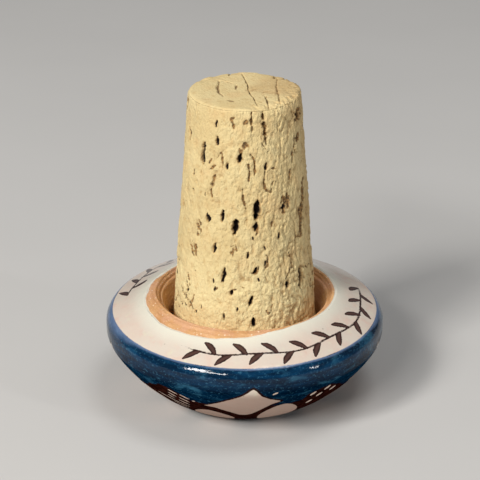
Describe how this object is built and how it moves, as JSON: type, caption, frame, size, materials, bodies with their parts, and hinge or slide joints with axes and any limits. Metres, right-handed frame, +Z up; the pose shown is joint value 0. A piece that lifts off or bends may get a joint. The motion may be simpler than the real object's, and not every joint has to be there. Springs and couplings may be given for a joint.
{
  "type": "ceramic bottle stopper",
  "caption": "Glazed ceramic bottle stopper: a domed hand-painted cap with a tapered natural cork plug bonded in its socket, resting on its crown.",
  "frame": {"origin": "on the stopper's axis, in the plane that the crown of the dome rests on", "axes": "+Z up along the cork towards its narrow end; -Y is the front, where a white petal of the dome's ornament points"},
  "size_m": [0.045, 0.045, 0.0515],
  "materials": {
    "glazed_clay": "gloss",
    "natural_cork": "matt",
    "adhesive": "satin"
  },
  "bodies": {
    "root": {"ceramic_cap": "glazed_clay", "cork": "natural_cork", "glue_bed": "adhesive"}
  },
  "joints": []
}
